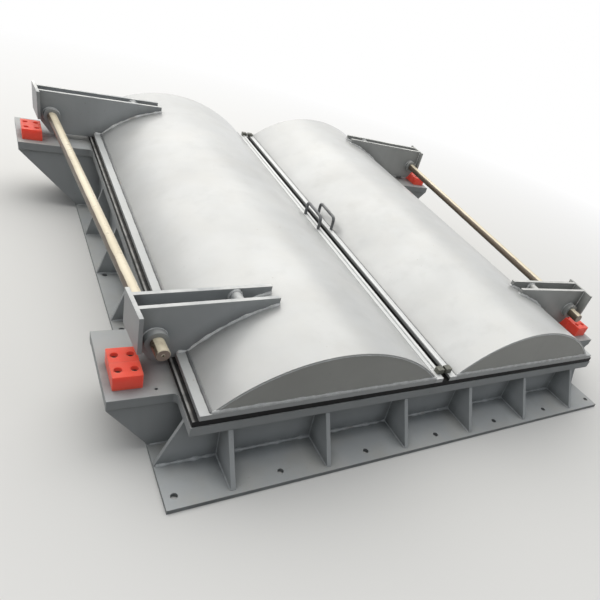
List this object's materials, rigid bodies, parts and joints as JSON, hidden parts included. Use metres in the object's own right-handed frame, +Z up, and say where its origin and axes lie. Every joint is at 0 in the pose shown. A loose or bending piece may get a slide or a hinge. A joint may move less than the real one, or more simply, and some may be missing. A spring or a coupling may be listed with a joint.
{
  "type": "double flap gate",
  "caption": "Steel flap gate with a flanged frame whose sloping seat carries a pair of arched leaves, swung open on splayed outer shafts and closed on a rubber seal.",
  "frame": {"origin": "Centre of the mounting flange's underside", "axes": "+X across the two leaves to the right, +Y along the hinges to the far end, +Z up from the flange to the leaves"},
  "size_m": [2.6254, 2.732, 0.5771],
  "materials": {
    "grey_paint": "satin",
    "buffer_rubber": "satin",
    "seal_rubber": "matte",
    "shaft_steel": "satin"
  },
  "bodies": {
    "frame": {"base_flange": "grey_paint", "near_wall": "grey_paint", "far_wall": "grey_paint", "left_wall": "grey_paint", "right_wall": "grey_paint", "seat_plate": "grey_paint", "centre_mullion": "grey_paint", "near_ribs": "grey_paint", "far_ribs": "grey_paint", "left_ribs": "grey_paint", "right_ribs": "grey_paint", "left_brackets": "grey_paint", "right_brackets": "grey_paint", "frame_seal": "seal_rubber", "near_left_bearing": "grey_paint", "near_left_buffers": "buffer_rubber", "near_right_bearing": "grey_paint", "near_right_buffers": "buffer_rubber", "far_left_bearing": "grey_paint", "far_left_buffers": "buffer_rubber", "far_right_bearing": "grey_paint", "far_right_buffers": "buffer_rubber"},
    "left_leaf": {"left_leaf_plate": "grey_paint", "left_leaf_shell": "grey_paint", "left_leaf_end_plates": "grey_paint", "near_left_arm": "grey_paint", "far_left_arm": "grey_paint", "left_shaft": "shaft_steel", "left_handle": "grey_paint", "left_seam_bar": "grey_paint", "left_seam_lugs": "grey_paint"},
    "right_leaf": {"right_leaf_plate": "grey_paint", "right_leaf_shell": "grey_paint", "right_leaf_end_plates": "grey_paint", "near_right_arm": "grey_paint", "far_right_arm": "grey_paint", "right_shaft": "shaft_steel", "right_handle": "grey_paint", "right_seam_bar": "grey_paint", "right_seam_lugs": "grey_paint"}
  },
  "joints": [
    {"name": "left_leaf_hinge", "type": "hinge", "parent": "frame", "child": "left_leaf", "pos_m": [-1.101, -0.00827, 0.40778], "axis": [0.067, -0.9963, -0.054], "range_deg": [0, 85]},
    {"name": "right_leaf_hinge", "type": "hinge", "parent": "frame", "child": "right_leaf", "pos_m": [1.101, -0.00827, 0.40778], "axis": [0.067, 0.9963, 0.054], "range_deg": [0, 85]}
  ]
}
